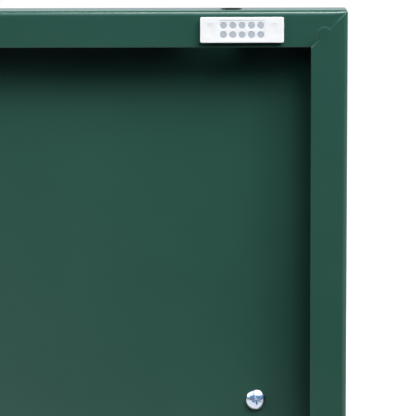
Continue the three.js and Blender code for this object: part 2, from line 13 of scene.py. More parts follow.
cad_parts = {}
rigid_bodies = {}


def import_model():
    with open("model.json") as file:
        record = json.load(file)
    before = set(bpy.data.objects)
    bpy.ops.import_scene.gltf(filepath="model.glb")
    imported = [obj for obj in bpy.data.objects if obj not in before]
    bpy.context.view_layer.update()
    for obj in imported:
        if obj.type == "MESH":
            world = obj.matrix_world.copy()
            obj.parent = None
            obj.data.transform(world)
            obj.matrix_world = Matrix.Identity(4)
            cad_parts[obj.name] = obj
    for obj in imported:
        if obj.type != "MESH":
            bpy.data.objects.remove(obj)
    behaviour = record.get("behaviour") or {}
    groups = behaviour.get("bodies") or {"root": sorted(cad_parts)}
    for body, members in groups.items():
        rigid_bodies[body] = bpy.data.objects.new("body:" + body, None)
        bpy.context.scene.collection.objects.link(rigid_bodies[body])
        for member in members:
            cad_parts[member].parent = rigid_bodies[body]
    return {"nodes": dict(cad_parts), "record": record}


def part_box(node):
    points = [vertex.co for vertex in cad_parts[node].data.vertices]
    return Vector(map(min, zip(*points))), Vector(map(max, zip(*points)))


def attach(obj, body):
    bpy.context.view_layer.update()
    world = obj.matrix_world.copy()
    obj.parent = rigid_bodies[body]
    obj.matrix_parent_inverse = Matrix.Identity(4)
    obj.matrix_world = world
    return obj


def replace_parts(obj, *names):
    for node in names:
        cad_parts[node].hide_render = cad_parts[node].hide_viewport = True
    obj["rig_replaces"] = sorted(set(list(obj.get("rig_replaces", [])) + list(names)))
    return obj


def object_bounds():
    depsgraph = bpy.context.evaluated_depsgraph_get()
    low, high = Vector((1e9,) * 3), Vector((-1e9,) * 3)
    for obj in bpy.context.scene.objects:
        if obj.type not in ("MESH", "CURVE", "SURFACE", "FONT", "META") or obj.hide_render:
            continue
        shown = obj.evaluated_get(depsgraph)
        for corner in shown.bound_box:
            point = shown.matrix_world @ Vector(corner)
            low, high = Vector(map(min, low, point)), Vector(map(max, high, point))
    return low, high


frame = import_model()
cad_low, cad_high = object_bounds()

MM = 0.001
SHEET = 1.2
BEND = 2.4
BEND_STEPS = 10
CUT_EDGE = 0.3
# how far a cutter stands out of the face that it enters
OVERSHOOT = 1
ON_AXIS = 0.000001
SMOOTH_ANGLE = math.radians(32)
BEVEL_ANGLE = math.radians(40)


# ---- places read from the frame, in millimetres ----

def low_high(node):
    low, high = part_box(node)
    return low / MM, high / MM


def middle(node):
    low, high = low_high(node)
    return (low + high) / 2


# ---- mesh helpers, in millimetres ----

def new_object(name, bm):
    mesh = bpy.data.meshes.new(name)
    bm.to_mesh(mesh)
    bm.free()
    obj = bpy.data.objects.new(name, mesh)
    bpy.context.scene.collection.objects.link(obj)
    return obj


AXIS_TURN = {
    "x": Matrix(((0, 0, 1, 0), (1, 0, 0, 0), (0, 1, 0, 0), (0, 0, 0, 1))),
    "y": Matrix(((1, 0, 0, 0), (0, 0, 1, 0), (0, -1, 0, 0), (0, 0, 0, 1))),
    "z": Matrix.Identity(4),
}


def lathe(profile, axis, centre, steps):
    """A turned solid. profile holds (radius, height along the axis) and starts and ends on it."""
    bm = bmesh.new()
    rings = []
    for radius, height in profile:
        if radius < ON_AXIS:
            rings.append([bm.verts.new((0, 0, height))])
            continue
        ring = []
        for i in range(steps):
            turn = 2 * math.pi * i / steps
            ring.append(bm.verts.new((radius * math.cos(turn), radius * math.sin(turn), height)))
        rings.append(ring)
    for lower, upper in zip(rings, rings[1:]):
        for i in range(steps):
            j = (i + 1) % steps
            if len(lower) == 1:
                bm.faces.new((lower[0], upper[j], upper[i]))
            elif len(upper) == 1:
                bm.faces.new((lower[i], lower[j], upper[0]))
            else:
                bm.faces.new((lower[i], lower[j], upper[j], upper[i]))
    bmesh.ops.recalc_face_normals(bm, faces=bm.faces)
    bmesh.ops.transform(bm, matrix=Matrix.Translation(centre) @ AXIS_TURN[axis], verts=bm.verts)
    return new_object("lathe", bm)


def bar(axis, radius, start, end, centre, steps):
    return lathe([(0, start), (radius, start), (radius, end), (0, end)], axis, centre, steps)


def arc(centre_u, centre_v, radius, start_deg, end_deg, steps):
    points = []
    for i in range(steps + 1):
        turn = math.radians(start_deg + (end_deg - start_deg) * i / steps)
        points.append((centre_u + radius * math.cos(turn), centre_v + radius * math.sin(turn)))
    return points


def rounded_rectangle(half_u, half_v, radius, steps=8):
    points = []
    corners = [(1, -1, -90), (1, 1, 0), (-1, 1, 90), (-1, -1, 180)]
    for sign_u, sign_v, start in corners:
        points += arc(sign_u * (half_u - radius), sign_v * (half_v - radius), radius,
                      start, start + 90, steps)
    return points


def prism(outline, axis, start, end, centre):
    """A closed outline carried straight along one axis."""
    bm = bmesh.new()
    lower = [bm.verts.new((u, v, start)) for u, v in outline]
    upper = [bm.verts.new((u, v, end)) for u, v in outline]
    bm.faces.new(lower)
    bm.faces.new(upper)
    for i in range(len(outline)):
        j = (i + 1) % len(outline)
        bm.faces.new((lower[i], lower[j], upper[j], upper[i]))
    bmesh.ops.recalc_face_normals(bm, faces=bm.faces)
    bmesh.ops.transform(bm, matrix=Matrix.Translation(centre) @ AXIS_TURN[axis], verts=bm.verts)
    return new_object("prism", bm)


def apply_modifiers(obj):
    """Turns the object's modifiers into its mesh."""
    graph = bpy.context.evaluated_depsgraph_get()
    mesh = bpy.data.meshes.new_from_object(obj.evaluated_get(graph))
    old = obj.data
    obj.modifiers.clear()
    obj.data = mesh
    bpy.data.meshes.remove(old)


def cut(obj, cutters):
    """Takes the shape of each cutter away from the object, and removes the cutters."""
    for cutter in cutters:
        modifier = obj.modifiers.new("cut", "BOOLEAN")
        modifier.operation = "DIFFERENCE"
        modifier.solver = "EXACT"
        modifier.object = cutter
        apply_modifiers(obj)
        bpy.data.objects.remove(cutter)


def soften(obj, width, steps, angle=BEVEL_ANGLE):
    """Rounds the sharp edges by a bevel."""
    bevel = obj.modifiers.new("edges", "BEVEL")
    bevel.width = width
    bevel.segments = steps
    bevel.limit_method = "ANGLE"
    bevel.angle_limit = angle
    bevel.use_clamp_overlap = True
    bevel.miter_outer = "MITER_ARC"
    apply_modifiers(obj)


# ---- shader helpers ----

def node_math(tree, operation, first, second=0):
    """The result of a math node. first and second are numbers or sockets."""
    node = tree.nodes.new("ShaderNodeMath")
    node.operation = operation
    for socket, value in zip(node.inputs, (first, second)):
        if isinstance(value, (int, float)):
            socket.default_value = value
        else:
            tree.links.new(value, socket)
    return node.outputs["Value"]


def noise(tree, scale, detail=2.0, roughness=0.5):
    place = tree.nodes.new("ShaderNodeTexCoord")
    texture = tree.nodes.new("ShaderNodeTexNoise")
    texture.inputs["Scale"].default_value = scale
    texture.inputs["Detail"].default_value = detail
    texture.inputs["Roughness"].default_value = roughness
    tree.links.new(place.outputs["Object"], texture.inputs["Vector"])
    return texture.outputs["Fac"]


def spread(tree, value, low, high):
    """Maps the middle stretch of a noise value, where most of it lies, to the range low..high."""
    node = tree.nodes.new("ShaderNodeMapRange")
    node.inputs["From Min"].default_value = 0.3
    node.inputs["From Max"].default_value = 0.7
    node.inputs["To Min"].default_value = low
    node.inputs["To Max"].default_value = high
    tree.links.new(value, node.inputs["Value"])
    return node.outputs["Result"]


def tint(tree, value, first, second):
    node = tree.nodes.new("ShaderNodeMix")
    node.data_type = "RGBA"
    node.inputs["A"].default_value = (*first, 1)
    node.inputs["B"].default_value = (*second, 1)
    tree.links.new(value, node.inputs["Factor"])
    return node.outputs["Result"]


def bump(tree, shader, heights, distance):
    """Feeds the sum of height values into the shader's normal."""
    total = heights[0]
    for height in heights[1:]:
        total = node_math(tree, "ADD", total, height)
    node = tree.nodes.new("ShaderNodeBump")
    node.inputs["Distance"].default_value = distance
    node.inputs["Strength"].default_value = 1
    tree.links.new(total, node.inputs["Height"])
    tree.links.new(node.outputs["Normal"], shader.inputs["Normal"])


# ---- materials, one to each slot ----

def material_base(name):
    material = bpy.data.materials.new(name)
    material.use_nodes = True
    tree = material.node_tree
    return material, tree, tree.nodes["Principled BSDF"]


def powder_coat(name):
    material, tree, shader = material_base(name)
    cloud = spread(tree, noise(tree, 14, detail=3), 0, 1)
    green = tint(tree, cloud, (0.0235, 0.083, 0.0625), (0.0265, 0.090, 0.0685))
    tree.links.new(green, shader.inputs["Base Color"])
    tree.links.new(spread(tree, noise(tree, 60), 0.15, 0.20), shader.inputs["Roughness"])
    shader.inputs["IOR"].default_value = 1.5
    peel = spread(tree, noise(tree, 420, roughness=0.4), 0, 1)
    grain = spread(tree, noise(tree, 2400, detail=1, roughness=0.4), 0, 0.25)
    bump(tree, shader, [peel, grain], 0.00001)
    return material


def white_plastic(name):
    material, tree, shader = material_base(name)
    cloud = spread(tree, noise(tree, 90), 0, 1)
    white = tint(tree, cloud, (0.88, 0.90, 0.935), (0.91, 0.925, 0.95))
    tree.links.new(white, shader.inputs["Base Color"])
    tree.links.new(spread(tree, noise(tree, 500, detail=1), 0.38, 0.46), shader.inputs["Roughness"])
    bump(tree, shader, [spread(tree, noise(tree, 1800, detail=1), 0, 1)], 0.000006)
    return material


def metal(name, first, second, roughness, cloud_scale, grain_scale, grain_height, metallic=1.0):
    """Metal clouded from the first colour to the second. roughness is its (lowest, highest)."""
    material, tree, shader = material_base(name)
    cloud = spread(tree, noise(tree, cloud_scale, detail=3), 0, 1)
    tree.links.new(tint(tree, cloud, first, second), shader.inputs["Base Color"])
    rough = spread(tree, noise(tree, cloud_scale * 2), *roughness)
    tree.links.new(rough, shader.inputs["Roughness"])
    shader.inputs["Metallic"].default_value = metallic
    bump(tree, shader, [spread(tree, noise(tree, grain_scale), 0, 1)], grain_height)
    return material


def soft_dull(name, first, second, roughness, grain_scale, grain_height):
    """Rubber or foam, with one even roughness."""
    material, tree, shader = material_base(name)
    cloud = spread(tree, noise(tree, grain_scale / 6, detail=3), 0, 1)
    tree.links.new(tint(tree, cloud, first, second), shader.inputs["Base Color"])
    shader.inputs["Roughness"].default_value = roughness
    bump(tree, shader, [spread(tree, noise(tree, grain_scale, detail=3), 0, 1)], grain_height)
    return material


MATERIALS = {
    "green_powder_coat": powder_coat("green_powder_coat"),
    "white_plastic": white_plastic("white_plastic"),
    "zinc_plate": metal(
        "zinc_plate", (0.70, 0.80, 0.95), (0.80, 0.88, 0.98), roughness=(0.14, 0.22),
        cloud_scale=300, grain_scale=1500, grain_height=0.000004),
    "satin_nickel": metal(
        "satin_nickel", (0.56, 0.54, 0.50), (0.62, 0.60, 0.56), roughness=(0.24, 0.32),
        cloud_scale=120, grain_scale=2200, grain_height=0.000003),
    "magnet_metal": metal(
        "magnet_metal", (0.51, 0.55, 0.62), (0.57, 0.62, 0.68), roughness=(0.42, 0.55),
        cloud_scale=700, grain_scale=2500, grain_height=0.000008, metallic=0.35),
    "black_rubber": soft_dull(
        "black_rubber", (0.011, 0.011, 0.012), (0.017, 0.017, 0.018), roughness=0.72,
        grain_scale=900, grain_height=0.00002),
    "foam_tape": soft_dull(
        "foam_tape", (0.62, 0.63, 0.64), (0.74, 0.75, 0.76), roughness=0.9,
        grain_scale=1600, grain_height=0.00005),
}


def put_on(obj, slot):
    """Gives the object its slot's material and smooth faces."""
    obj.data.materials.clear()
    obj.data.materials.append(MATERIALS[slot])
    for polygon in obj.data.polygons:
        polygon.use_smooth = True


def keep(obj, name, node, body, slot):
    """Scales a piece to metres, and gives it its name, material, body and slot."""
    obj.data.transform(Matrix.Scale(MM, 4))
    obj.name = name
    obj.data.name = name
    put_on(obj, slot)
    obj.data.set_sharp_from_angle(angle=SMOOTH_ANGLE)
    flat_faces = obj.modifiers.new("flat_faces", "WEIGHTED_NORMAL")
    flat_faces.keep_sharp = True
    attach(obj, body)
    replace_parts(obj, node)


# ---- folded sheet ----

# distances between the rows of vertices on a flange, and from its rows to the bend and the edge
FACE_STEP = 0.35
FACE_FROM_BEND = 0.3
FACE_TO_EDGE = 0.2
NEAR_BEND = 0.4
WALL_FROM_BEND = 0.5
PANEL_RIM = 3
# rows beside a mitre, closer together than the even ones that follow
CORNER_ROWS = [0.0, 0.12, 0.25, 0.45, 0.7]
FIRST_EVEN_ROW = 1.0


def along_rows(reach):
    """Distances from a mitre at which a folded side has a row of vertices."""
    rows = list(CORNER_ROWS)
    at = FIRST_EVEN_ROW
    while at < reach:
        rows.append(at)
        at += FACE_STEP
    return rows


def folded_ring(width, height, profile, rows, chamfer, shape):
    """A pan: a sheet's profile carried round a rectangle with mitred corners, and closed by its
    panel at both ends of the profile.

    profile holds (inset from the outside, depth, how far it follows shape). The pan lies with
    its width along X, its height along Z and its depth along Y. chamfer is cut off its corners.
    """
    bm = bmesh.new()
    loops = []
    for inset, depth, weight in profile:
        loop = []
        for side in range(4):
            length = (width if side % 2 == 0 else height) - 2 * inset
            offsets = rows + [length - row for row in reversed(rows[1:])]
            for along in offsets:
                delta = min(along, length - along)
                short = max(0.0, chamfer - 2 * inset - delta) / 2
                near_start = along < length / 2
                step = short if near_start else -short
                u = inset + along + step
                v = inset + short
                sink = weight * shape(side, inset, delta) if weight else 0.0
                place = {
                    0: (u, v),
                    1: (width - v, u),
                    2: (width - u, height - v),
                    3: (v, height - u),
                }[side]
                loop.append(bm.verts.new((place[0], depth + sink, place[1])))
        loops.append(loop)
    for first, second in zip(loops, loops[1:]):
        for i in range(len(first)):
            j = (i + 1) % len(first)
            bm.faces.new((first[i], first[j], second[j], second[i]))
    bm.faces.new(loops[0])
    bm.faces.new(loops[-1])
    bmesh.ops.recalc_face_normals(bm, faces=bm.faces)
    return new_object("folded", bm)


def face_steps(start, end):
    count = max(1, round((end - start) / FACE_STEP))
    return [start + (end - start) * i / count for i in range(count + 1)]


def flange_profile(flange):
    """Front half of a folded edge: from the side wall, round the bend, over the flange and back.

    Its outer side follows the shape that folded_ring is given, and its inner side is plain.
    """
    edge = CUT_EDGE
    points = []
    for inset, y in arc(BEND, BEND, BEND, 180, 270, BEND_STEPS):
        points.append((inset, y, 1 - y / BEND))
    for inset in face_steps(BEND + FACE_FROM_BEND, flange - edge - FACE_TO_EDGE):
        points.append((inset, 0.0, 1))
    for inset, y in arc(flange - edge, edge, edge, -90, 0, 4):
        points.append((inset, y, 1))
    for inset, y in arc(flange - edge, SHEET - edge, edge, 0, 90, 4):
        points.append((inset, y, 0))
    points.append((flange - edge - NEAR_BEND, SHEET, 0))
    points.append((BEND + NEAR_BEND, SHEET, 0))
    for inset, y in reversed(arc(BEND, BEND, BEND - SHEET, 180, 270, BEND_STEPS)):
        points.append((inset, y, 0))
    points.append((SHEET, BEND + WALL_FROM_BEND, 0))
    return points


MITRE_STEP = 0.34
MITRE_RUN = 3.2
MITRE_EDGE = 0.4
MITRE_START = 2.5
MITRE_OPENING = 3.5
# the share of the step along the whole mitre, and what is added at its ends
CLOSED_SHARE = 0.3
OPEN_SHARE = 0.8
WELD_ALONG_FLANGE = 0.64
WELD_RADIUS = 3.3
WELD_RIM = 0.7
WELD_RISE = 0.2
WELD_TILT = (0.5, 0.87)


def mitre_and_weld(flange):
    """How far a flange's face is sunk near a corner: the closed mitre and its spot weld.

    The upright flange's edge is rounded off at the mitre, and the level flange runs down to meet
    it. The step is higher at both ends of the mitre. The weld is a low plateau, highest at the
    side that faces the level flange.
    """
    weld = flange * WELD_ALONG_FLANGE

    def sink(side, inset, delta):
        level = side % 2 == 0
        width = MITRE_RUN if level else MITRE_EDGE
        from_end = min(abs(inset - MITRE_START), abs(flange - inset))
        open_end = max(0.0, 1 - from_end / MITRE_OPENING)
        step = MITRE_STEP * (CLOSED_SHARE + OPEN_SHARE * open_end) * math.exp(-((delta / width) ** 2))
        along, across = (inset + delta, inset) if level else (inset, inset + delta)
        reach = math.hypot(along - weld, across - weld)
        inside = min(1.0, max(0.0, (WELD_RADIUS + WELD_RIM / 2 - reach) / WELD_RIM))
        inside = inside * inside * (3 - 2 * inside)
        tilt = ((along - weld) * WELD_TILT[0] + (weld - across) * WELD_TILT[1]) / WELD_RADIUS
        rise = WELD_RISE * max(0.0, 0.5 + 0.5 * tilt)
        return step * (1 - inside) - rise * inside

    return sink


# ---- door ----

DOOR_FLANGE = 17.5
CORNER_CHAMFER = 1.1
KNOB_HOLE_RADIUS = 2.8
RIVET_HOLE_RADIUS = 1.6
HOLE_REACH = 4
EDGE_HOLE_INSET = 55.2
EDGE_HOLE_RADIUS = 5.3
EDGE_HOLE_LIP = 0.15
# how much wider the edge hole is at the sheet's inner face and at the cutter's end
EDGE_HOLE_WIDER = 0.7
EDGE_HOLE_WIDEST = 3


def door_profile(depth):
    """From the panel's outer face round the folded edge to the panel's inner face."""
    outer_bend = arc(BEND, depth - BEND, BEND, 90, 180, BEND_STEPS)
    inner_bend = arc(BEND, depth - BEND, BEND - SHEET, 90, 180, BEND_STEPS)
    profile = [(BEND + PANEL_RIM, depth, 0), (BEND + NEAR_BEND, depth, 0)]
    profile += [(u, v, 0) for u, v in outer_bend]
    profile.append((0.0, depth / 2, 0))
    profile += flange_profile(DOOR_FLANGE)
    profile.append((SHEET, depth / 2, 0))
    profile += [(u, v, 0) for u, v in reversed(inner_bend)]
    profile += [(BEND + NEAR_BEND, depth - SHEET, 0), (BEND + PANEL_RIM, depth - SHEET, 0)]
    return profile


def edge_hole_cutter(x, y, top):
    """A round hole down through the top edge. It is wider under its thin lip."""
    end = top - HOLE_REACH
    start = top + OVERSHOOT
    profile = [(0, end), (EDGE_HOLE_RADIUS + EDGE_HOLE_WIDEST, end),
               (EDGE_HOLE_RADIUS + EDGE_HOLE_WIDER, top - SHEET),
               (EDGE_HOLE_RADIUS, top - EDGE_HOLE_LIP), (EDGE_HOLE_RADIUS, start), (0, start)]
    return lathe(profile, "z", (x, y, 0), steps=64)


def door_pan():
    low, high = low_high("door_panel")
    width, depth, height = high - low
    pan = folded_ring(width, height, door_profile(depth), along_rows(DOOR_FLANGE),
                      CORNER_CHAMFER, mitre_and_weld(DOOR_FLANGE))
    pan.data.transform(Matrix.Translation(low))
    knob_x, _, knob_z = middle("knob_screw")
    cutters = [bar("y", KNOB_HOLE_RADIUS, high.y - HOLE_REACH, high.y + OVERSHOOT,
                   (knob_x, 0, knob_z), steps=48)]
    for from_edge in (EDGE_HOLE_INSET, width - EDGE_HOLE_INSET):
        cutters.append(edge_hole_cutter(low.x + from_edge, (low.y + high.y) / 2, high.z))
    for node in frame["nodes"]:
        if "_door_rivet_" in node:
            _, y, z = middle(node)
            cutters.append(bar("x", RIVET_HOLE_RADIUS, low.x - OVERSHOOT,
                               low.x + SHEET + OVERSHOOT, (0, y, z), steps=32))
    cut(pan, cutters)
    keep(pan, "door_panel_folded", "door_panel", "door", "green_powder_coat")


# ---- magnetic catch ----

CATCH_CORNER = 0.8
CATCH_EDGE = 0.3
FIELD_HALF_WIDTH = 10.8
FIELD_HALF_HEIGHT = 4.7
FIELD_CORNER = 0.6
FIELD_DEPTH = 0.1
MARK_FROM_MIDDLE = 15.1
MARK_CORNER = 0.5
# half width, half height and depth of the two steps of a mark
MARK_STEPS = ((1.9, 3.1, 0.08), (0.95, 2.2, 0.18))
POCKET_RADIUS = 1.6
POCKET_SPARE = 0.1
POCKET_RIM = 0.15
# depths between which the pocket's rim narrows
RIM_STARTS = 0.08
RIM_ENDS = 0.2
DISC_RADIUS = 1.5
DISC_EDGE = 0.08


def magnet_nodes():
    return [node for node in frame["nodes"] if node.startswith("catch_magnet_")]


def pocket_cutter(node, front):
    """A round pocket with a chamfered rim, a little deeper than its magnet."""
    x, _, z = middle(node)
    deep = low_high(node)[1].y + POCKET_SPARE
    rim = POCKET_RADIUS + POCKET_RIM
    start = front - OVERSHOOT
    profile = [(0, start), (rim, start), (rim, front + RIM_STARTS),
               (POCKET_RADIUS, front + RIM_ENDS), (POCKET_RADIUS, deep), (0, deep)]
    return lathe(profile, "y", (x, 0, z), steps=40)


def catch_carrier():
    """White carrier with a shallow field round its pockets and a stepped mark at each end."""
    low, high = low_high("catch_housing")
    x, _, z = middle("catch_housing")
    front = low.y
    outline = rounded_rectangle((high.x - low.x) / 2, (high.z - low.z) / 2, CATCH_CORNER)
    carrier = prism(outline, "y", front, high.y, (x, 0, z))
    soften(carrier, CATCH_EDGE, steps=4)
    start = front - OVERSHOOT
    field = rounded_rectangle(FIELD_HALF_WIDTH, FIELD_HALF_HEIGHT, FIELD_CORNER)
    cutters = [prism(field, "y", start, front + FIELD_DEPTH, (x, 0, z))]
    for side in (-1, 1):
        place = (x + side * MARK_FROM_MIDDLE, 0, z)
        for half_wide, half_tall, depth in MARK_STEPS:
            mark = rounded_rectangle(half_wide, half_tall, MARK_CORNER)
            cutters.append(prism(mark, "y", start, front + depth, place))
    cutters += [pocket_cutter(node, front) for node in magnet_nodes()]
    cut(carrier, cutters)
    keep(carrier, "catch_carrier", "catch_housing", "door", "white_plastic")


def catch_disc(node):
    low, high = low_high(node)
    x, _, z = middle(node)
    profile = [(0, low.y), (DISC_RADIUS - DISC_EDGE, low.y), (DISC_RADIUS, low.y + DISC_EDGE),
               (DISC_RADIUS, high.y), (0, high.y)]
    disc = lathe(profile, "y", (x, 0, z), steps=32)
    keep(disc, node.replace("magnet", "disc"), node, "door", "magnet_metal")


def catch():
    catch_carrier()
    for node in magnet_nodes():
        catch_disc(node)


# ---- knob and its screw ----

SCREW_LENGTH = 12
SCREW_TURN = -12
SHANK_RADIUS = 2.5
SHANK_CHAMFER = 0.4
HEAD_RADIUS = 5.0
HEAD_HEIGHT = 2.4
HEAD_EDGE = 0.1
DOME_RADIUS = 5.2
DOME_WIDER = 1.05
DOME_FLATTER = 0.72
# radius, and distance below the dome's edge
HEAD_RIM = ((4.5, 0.42), (4.84, 0.78), (HEAD_RADIUS, 1.1))
# half length and half width of an arm of the cross recess, at its cutter's start and end
ARM_START = (2.75, 0.62)
ARM_END = (0.9, 0.34)
ARM_DEPTH = 1.7
CORE_START = 1.15
CORE_END = 0.3
CORE_DEPTH = 1.9
RECESS_ABOVE_HEAD = 0.5
RECESS_EDGE = 0.09
RECESS_ANGLE = math.radians(50)


def taper(half_wide, half_tall, end_wide, end_tall, start, end):
    """A four-sided plug that narrows from start to end along Y."""
    bm = bmesh.new()
    rings = []
    for wide, tall, y in ((half_wide, half_tall, start), (end_wide, end_tall, end)):
        corners = ((-wide, -tall), (wide, -tall), (wide, tall), (-wide, tall))
        rings.append([bm.verts.new((x, y, z)) for x, z in corners])
    bm.faces.new(rings[0])
    bm.faces.new(rings[1])
    for i in range(4):
        j = (i + 1) % 4
        bm.faces.new((rings[0][i], rings[0][j], rings[1][j], rings[1][i]))
    bmesh.ops.recalc_face_normals(bm, faces=bm.faces)
    return new_object("taper", bm)


def screw_profile(top, seat, tip):
    """Low domed head with a rounded rim, then the shank and its chamfered end."""
    profile = [(0, top)]
    for u, v in arc(0, DOME_RADIUS, DOME_RADIUS, -90, -45, 10)[1:]:
        profile.append((u * DOME_WIDER, top + v * DOME_FLATTER))
    dome_edge = profile[-1][1]
    profile += [(radius, dome_edge + below) for radius, below in HEAD_RIM]
    profile += [(HEAD_RADIUS, seat - HEAD_EDGE), (HEAD_RADIUS - HEAD_EDGE, seat),
                (SHANK_RADIUS, seat), (SHANK_RADIUS, tip - SHANK_CHAMFER),
                (SHANK_RADIUS - SHANK_CHAMFER, tip), (0, tip)]
    return profile


def cross_recess(top, place):
    """The three cutters of the cross recess: two arms and a square core."""
    wide, tall = ARM_START
    end_wide, end_tall = ARM_END
    start = top - RECESS_ABOVE_HEAD
    plugs = [taper(wide, tall, end_wide, end_tall, start, top + ARM_DEPTH),
             taper(tall, wide, end_tall, end_wide, start, top + ARM_DEPTH),
             taper(CORE_START, CORE_START, CORE_END, CORE_END, start, top + CORE_DEPTH)]
    for plug in plugs:
        plug.data.transform(place)
    return plugs


def knob_screw():
    tip = low_high("knob_screw")[1].y
    x, _, z = middle("knob_screw")
    seat = tip - SCREW_LENGTH
    top = seat - HEAD_HEIGHT
    screw = lathe(screw_profile(top, seat, tip), "y", (x, 0, z), steps=72)
    turn = Matrix.Rotation(math.radians(SCREW_TURN), 4, "Y")
    cut(screw, cross_recess(top, Matrix.Translation((x, 0, z)) @ turn))
    soften(screw, RECESS_EDGE, steps=2, angle=RECESS_ANGLE)
    keep(screw, "knob_screw_cross_recess", "knob_screw", "door", "zinc_plate")


KNOB_BORE_RADIUS = 2.8
KNOB_BORE_DEPTH = 13
# radius, and height from the foot: foot, waist and mushroom head
KNOB_CURVE = [
    (7.0, 0.0), (7.0, 1.3), (6.5, 1.9), (5.6, 2.6), (5.0, 4.0), (4.8, 5.6), (5.0, 7.4),
    (5.9, 9.2), (7.6, 10.8), (9.8, 12.1), (11.6, 13.4), (12.7, 14.9), (13.0, 16.4),
    (12.7, 17.9), (11.7, 19.3), (9.9, 20.5), (7.4, 21.3), (4.2, 21.85), (1.5, 22.0),
    (0, 22.0),
]


def knob():
    """A turned knob with the screw's bore in its foot."""
    base = low_high("door_knob")[0].y
    x, _, z = middle("door_knob")
    bore_end = base + KNOB_BORE_DEPTH
    profile = [(0, bore_end), (KNOB_BORE_RADIUS, bore_end), (KNOB_BORE_RADIUS, base)]
    profile += [(radius, base + height) for radius, height in KNOB_CURVE]
    turned = lathe(profile, "y", (x, 0, z), steps=72)
    keep(turned, "door_knob_turned", "door_knob", "door", "satin_nickel")


# ---- the rest of the frame's nodes get fine edges and their material ----

NODE_EDGE = 0.25
# in metres, like the nodes themselves
SAME_PLACE = 0.000001


def dress(node, slot):
    obj = frame["nodes"][node]
    put_on(obj, slot)
    weld = obj.modifiers.new("weld", "WELD")
    weld.merge_threshold = SAME_PLACE
    bevel = obj.modifiers.new("edges", "BEVEL")
    bevel.width = NODE_EDGE * MM
    bevel.segments = 2
    bevel.limit_method = "ANGLE"
    bevel.angle_limit = BEVEL_ANGLE
    obj.modifiers.new("flat_faces", "WEIGHTED_NORMAL")


def dress_kept_nodes():
    replaced = set()
    for obj in bpy.context.scene.objects:
        replaced.update(obj.get("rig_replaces", []))
    for row in frame["record"]["subparts"]:
        if row["node"] not in replaced:
            dress(row["node"], row["material_slot"])


# ---- studio shader helpers ----

RAMP_TOP = 4


def ramp(tree, value, *stops):
    """Straight lines between (value, result) stops, for results up to RAMP_TOP."""
    node = tree.nodes.new("ShaderNodeFloatCurve")
    node.mapping.extend = "HORIZONTAL"
    curve = node.mapping.curves[0]
    for place, result in stops[1:-1]:
        curve.points.new(place, result / RAMP_TOP)
    curve.points[0].location = (stops[0][0], stops[0][1] / RAMP_TOP)
    curve.points[-1].location = (stops[-1][0], stops[-1][1] / RAMP_TOP)
    for point in curve.points:
        point.handle_type = "VECTOR"
    node.mapping.update()
    tree.links.new(value, node.inputs["Value"])
    return node_math(tree, "MULTIPLY", node.outputs["Value"], RAMP_TOP)


def glow(tree, strength, colour=(1, 1, 1)):
    """Light given off. strength is a number or a socket."""
    node = tree.nodes.new("ShaderNodeEmission")
    node.inputs["Color"].default_value = (*colour, 1)
    if isinstance(strength, (int, float)):
        node.inputs["Strength"].default_value = strength
    else:
        tree.links.new(strength, node.inputs["Strength"])
    return node.outputs[0]


def diffuse(tree, grey):
    node = tree.nodes.new("ShaderNodeBsdfDiffuse")
    node.inputs["Color"].default_value = (grey, grey, grey, 1)
    return node.outputs[0]


def both(tree, first, second):
    """The sum of two shaders."""
    node = tree.nodes.new("ShaderNodeAddShader")
    tree.links.new(first, node.inputs[0])
    tree.links.new(second, node.inputs[1])
    return node.outputs[0]


def either(tree, choice, off, on):
    """One of two shaders: off where choice is 0, and on where it is 1."""
    node = tree.nodes.new("ShaderNodeMixShader")
    tree.links.new(choice, node.inputs["Fac"])
    tree.links.new(off, node.inputs[1])
    tree.links.new(on, node.inputs[2])
    return node.outputs[0]


def split_axes(tree, vector):
    node = tree.nodes.new("ShaderNodeSeparateXYZ")
    tree.links.new(vector, node.inputs["Vector"])
    return [node.outputs[axis] for axis in "XYZ"]


def by_ray(tree, seen, mirrored, scattered):
    """One shader for what the camera sees, one for mirrored rays, and one for all the others."""
    path = tree.nodes.new("ShaderNodeLightPath")
    shade = either(tree, path.outputs["Is Glossy Ray"], scattered, mirrored)
    return either(tree, path.outputs["Is Camera Ray"], shade, seen)


# ---- floor ----

FLOOR_DROP = 0.03
FLOOR_REACH = 30
FLOOR_SEEN = 0.97
FLOOR_SEEN_GREY = 0.3
FLOOR_THROWN_GREY = 0.03
FLOOR_GLOW = 0.9
# metres of floor that a ramp covers from 0 to 1
FLOOR_SPAN = 4


def floor_mirrored(tree):
    """How bright the floor is in a mirrored ray, from the place that the ray meets.

    It is white close to the origin. Further out, a grey stretch on the left fades away forwards,
    and a paler patch lies on the right, with a dark lane between the two.
    """
    place = tree.nodes.new("ShaderNodeNewGeometry").outputs["Position"]
    length = tree.nodes.new("ShaderNodeVectorMath")
    length.operation = "LENGTH"
    tree.links.new(place, length.inputs[0])
    away = node_math(tree, "DIVIDE", length.outputs["Value"], FLOOR_SPAN)
    across, out_of_wall, _ = split_axes(tree, place)
    forward = node_math(tree, "DIVIDE", out_of_wall, -FLOOR_SPAN)
    rightward = node_math(tree, "DIVIDE", across, FLOOR_SPAN)
    close = ramp(tree, away, (0, FLOOR_GLOW), (0.20, FLOOR_GLOW), (0.27, 0), (1, 0))
    left = node_math(
        tree, "MULTIPLY",
        ramp(tree, forward, (0, 0.5), (0.27, 0.5), (0.38, 0.24), (0.55, 0.1), (0.9, 0), (1, 0)),
        ramp(tree, across, (0, 1), (0.22, 1), (0.34, 0.3), (0.46, 0), (1, 0)))
    right = node_math(
        tree, "MULTIPLY",
        ramp(tree, forward, (0, 1), (0.30, 1), (0.48, 0.3), (0.56, 0), (1, 0)),
        ramp(tree, rightward, (0, 0), (0.165, 0), (0.23, 0.75), (0.8, 0.75), (0.9, 0), (1, 0)))
    return node_math(tree, "MAXIMUM", close, node_math(tree, "MAXIMUM", left, right))


